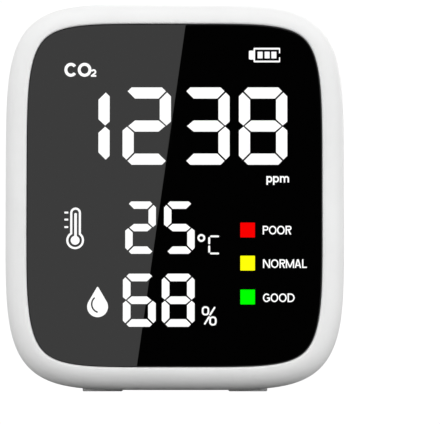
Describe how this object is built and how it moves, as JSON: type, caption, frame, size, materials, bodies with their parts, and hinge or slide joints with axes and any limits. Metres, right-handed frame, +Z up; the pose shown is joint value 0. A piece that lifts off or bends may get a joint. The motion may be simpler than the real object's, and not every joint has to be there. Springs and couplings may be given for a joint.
{
  "type": "air quality monitor",
  "caption": "Rounded-square desktop air quality monitor with a dark segment-display lens, rear vents, two rear buttons and a fold-out leg.",
  "frame": {"origin": "centre of the bounding box's bottom face, on the table under the rubber feet", "axes": "+X to the right as the display is read, +Y from the display towards the back, +Z up"},
  "size_m": [0.0786, 0.03, 0.09],
  "materials": {
    "shell_white": "satin moulded ABS, very fine spark texture",
    "lens_black": "polished smoked acrylic",
    "silicone_pale": "matt silicone",
    "adhesive_tape": "double-sided foam tape",
    "screen_mesh": "fine woven dust screen",
    "foam_dark": "open-cell foam",
    "steel": "nickel-plated steel",
    "black_plastic": "moulded black plastic",
    "milky_plastic": "milky diffusing plastic",
    "circuit_green": "green solder mask",
    "window_red": "coloured light filter",
    "window_yellow": "coloured light filter",
    "window_green": "coloured light filter",
    "gold_plate": "gold-plated sensor housing",
    "cell_foil": "laminated pouch foil",
    "lead_red": "wire insulation",
    "lead_black": "wire insulation"
  },
  "bodies": {
    "housing": {"front_shell": "shell_white", "rear_shell": "shell_white", "front_lens": "lens_black", "foot_right": "silicone_pale", "foot_left": "silicone_pale", "lens_tape": "adhesive_tape", "dust_screen": "screen_mesh", "battery_pad": "foam_dark", "usb_socket_shell": "steel", "shell_screw_1": "steel", "shell_screw_2": "steel", "shell_screw_3": "steel", "shell_screw_4": "steel", "board_screw_1": "steel", "board_screw_2": "steel", "board_screw_3": "steel", "board_screw_4": "steel", "power_switch_base": "black_plastic", "mode_switch_base": "black_plastic", "display_reflector": "black_plastic", "board_connector": "black_plastic", "microcontroller": "black_plastic", "charge_inductor": "black_plastic", "buzzer": "black_plastic", "usb_socket_tongue": "black_plastic", "co2_sensor_pins_left": "black_plastic", "co2_sensor_pins_right": "black_plastic", "climate_sensor_post": "black_plastic", "climate_sensor_chip": "black_plastic", "display_diffuser": "milky_plastic", "co2_sensor_membrane": "milky_plastic", "battery_socket": "milky_plastic", "battery_plug": "milky_plastic", "display_board": "circuit_green", "main_board": "circuit_green", "co2_sensor_board": "circuit_green", "climate_sensor_board": "circuit_green", "status_window_red": "window_red", "status_window_yellow": "window_yellow", "status_window_green": "window_green", "co2_sensor_chamber": "gold_plate", "battery_cell": "cell_foil", "battery_lead_red": "lead_red", "battery_lead_black": "lead_black"},
    "stand": {"stand_leg": "shell_white", "stand_tip": "silicone_pale", "stand_pin": "steel"},
    "power_key": {"power_button": "silicone_pale", "power_switch_plunger": "black_plastic"},
    "mode_key": {"mode_button": "silicone_pale", "mode_switch_plunger": "black_plastic"}
  },
  "joints": [
    {"name": "stand_hinge", "type": "hinge", "parent": "housing", "child": "stand", "pos_m": [0, 0.0132, 0.03515], "axis": [1, 0, 0], "range_deg": [0, 48]},
    {"name": "power_press", "type": "slide", "parent": "housing", "child": "power_key", "axis": [0, -1, 0], "range_m": [0, 0.0004], "stiffness_N_per_m": 400},
    {"name": "mode_press", "type": "slide", "parent": "housing", "child": "mode_key", "axis": [0, -1, 0], "range_m": [0, 0.0004], "stiffness_N_per_m": 400}
  ]
}
